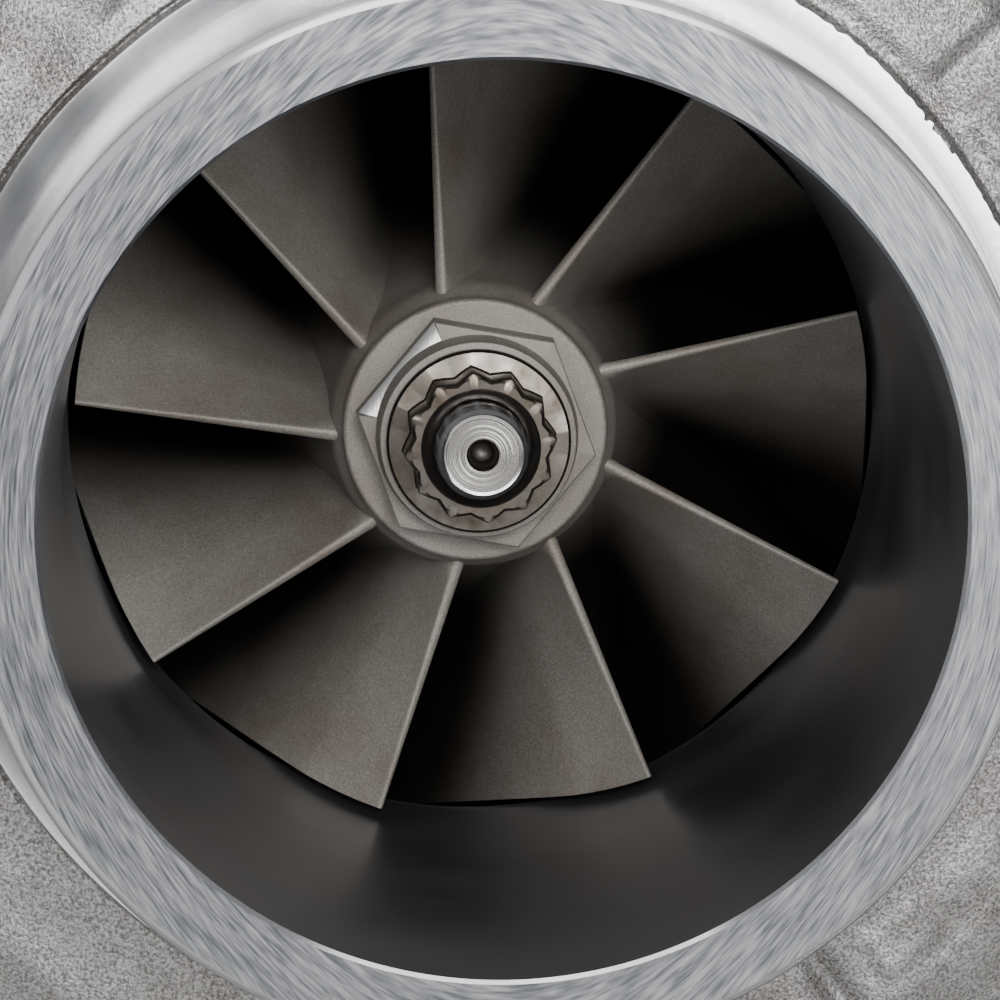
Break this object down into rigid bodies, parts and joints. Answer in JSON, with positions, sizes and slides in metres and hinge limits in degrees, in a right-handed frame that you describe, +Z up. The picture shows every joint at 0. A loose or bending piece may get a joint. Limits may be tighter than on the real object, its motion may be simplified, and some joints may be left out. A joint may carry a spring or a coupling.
{
  "type": "turbocharger",
  "caption": "Car turbocharger with a cast compressor cover, a bladed rotor in an oil-fed centre housing, a turbine housing and a rod-driven wastegate.",
  "frame": {"origin": "centre of the compressor inlet's machined face, on the shaft axis", "axes": "-Y out of the compressor inlet along the shaft axis, +Z up towards the oil feed and the compressor outlet, +X towards the turbine foot's side"},
  "size_m": [0.2101, 0.214, 0.1919],
  "materials": {
    "cast_aluminium": "sand cast, machined spigot",
    "machined_aluminium": "turned",
    "cast_wheel": "as cast",
    "nut_steel": "oiled steel",
    "bright_steel": "ground",
    "black_steel": "black oxide",
    "zinc_steel": "clear zinc plate",
    "gold_zinc": "yellow zinc plate",
    "stainless": "satin",
    "nickel_alloy": "as cast",
    "grey_iron": "sand cast",
    "turbine_iron": "sand cast",
    "bronze": "machined",
    "brass": "machined",
    "copper": "pressed",
    "rubber": "matt"
  },
  "bodies": {
    "housing": {"compressor_housing": "cast_aluminium", "backplate": "machined_aluminium", "backplate_o_ring": "rubber", "cover_clamp_plates": "zinc_steel", "cover_bolts": "zinc_steel", "front_seal_ring": "black_steel", "thrust_bearing": "bronze", "oil_deflector": "zinc_steel", "centre_housing": "grey_iron", "core_bolts": "black_steel", "bearing_circlips": "black_steel", "rear_seal_ring": "black_steel", "heat_shield": "stainless", "turbine_housing": "turbine_iron", "v_band": "stainless", "v_band_bolt": "stainless", "v_band_nut": "stainless", "oil_feed_fitting": "zinc_steel", "oil_feed_washer": "copper", "wastegate_bush": "stainless", "actuator_spring": "bright_steel", "actuator_diaphragm": "rubber", "actuator_cover": "gold_zinc", "actuator_can": "gold_zinc", "actuator_studs": "zinc_steel", "actuator_nuts": "zinc_steel", "actuator_bracket": "zinc_steel", "bracket_bolts": "zinc_steel", "pressure_nipple": "brass", "actuator_nipple": "gold_zinc"},
    "rotor": {"rotor_shaft": "bright_steel", "compressor_wheel": "cast_wheel", "compressor_nut": "nut_steel", "oil_flinger": "bright_steel", "thrust_collar": "bright_steel", "thrust_washer": "bright_steel", "turbine_wheel": "nickel_alloy"},
    "front_bush": {"front_journal_bush": "bronze"},
    "rear_bush": {"rear_journal_bush": "bronze"},
    "wastegate": {"wastegate_crank": "nickel_alloy", "wastegate_flap": "nickel_alloy", "wastegate_washer": "stainless", "wastegate_lever": "stainless", "lever_pin": "stainless", "lever_clip": "stainless"},
    "push_rod": {"actuator_rod": "bright_steel", "rod_eye": "zinc_steel", "rod_lock_nut": "zinc_steel", "actuator_piston": "zinc_steel"}
  },
  "joints": [
    {"name": "rotor_spin", "type": "hinge", "parent": "housing", "child": "rotor", "pos_m": [0, 0.115, 0], "axis": [0, -1, 0], "continuous": true},
    {"name": "front_bush_spin", "type": "hinge", "parent": "housing", "child": "front_bush", "pos_m": [0, 0.106, 0], "axis": [0, -1, 0], "continuous": true},
    {"name": "rear_bush_spin", "type": "hinge", "parent": "housing", "child": "rear_bush", "pos_m": [0, 0.124, 0], "axis": [0, -1, 0], "continuous": true},
    {"name": "rod_slide", "type": "slide", "parent": "housing", "child": "push_rod", "axis": [0, 1, 0], "range_m": [0, 0.00932], "stiffness_N_per_m": 3000, "springref_m": -0.01, "deforming": ["actuator_spring", "actuator_diaphragm"]},
    {"name": "wastegate_turn", "type": "hinge", "parent": "housing", "child": "wastegate", "pos_m": [-0.072, 0.19, 0], "axis": [0, 0, 1], "range_deg": [0, 30]}
  ],
  "couplings": [
    {"joint": "wastegate_turn", "follows": "rod_slide", "rad_per_m": 56.195}
  ]
}
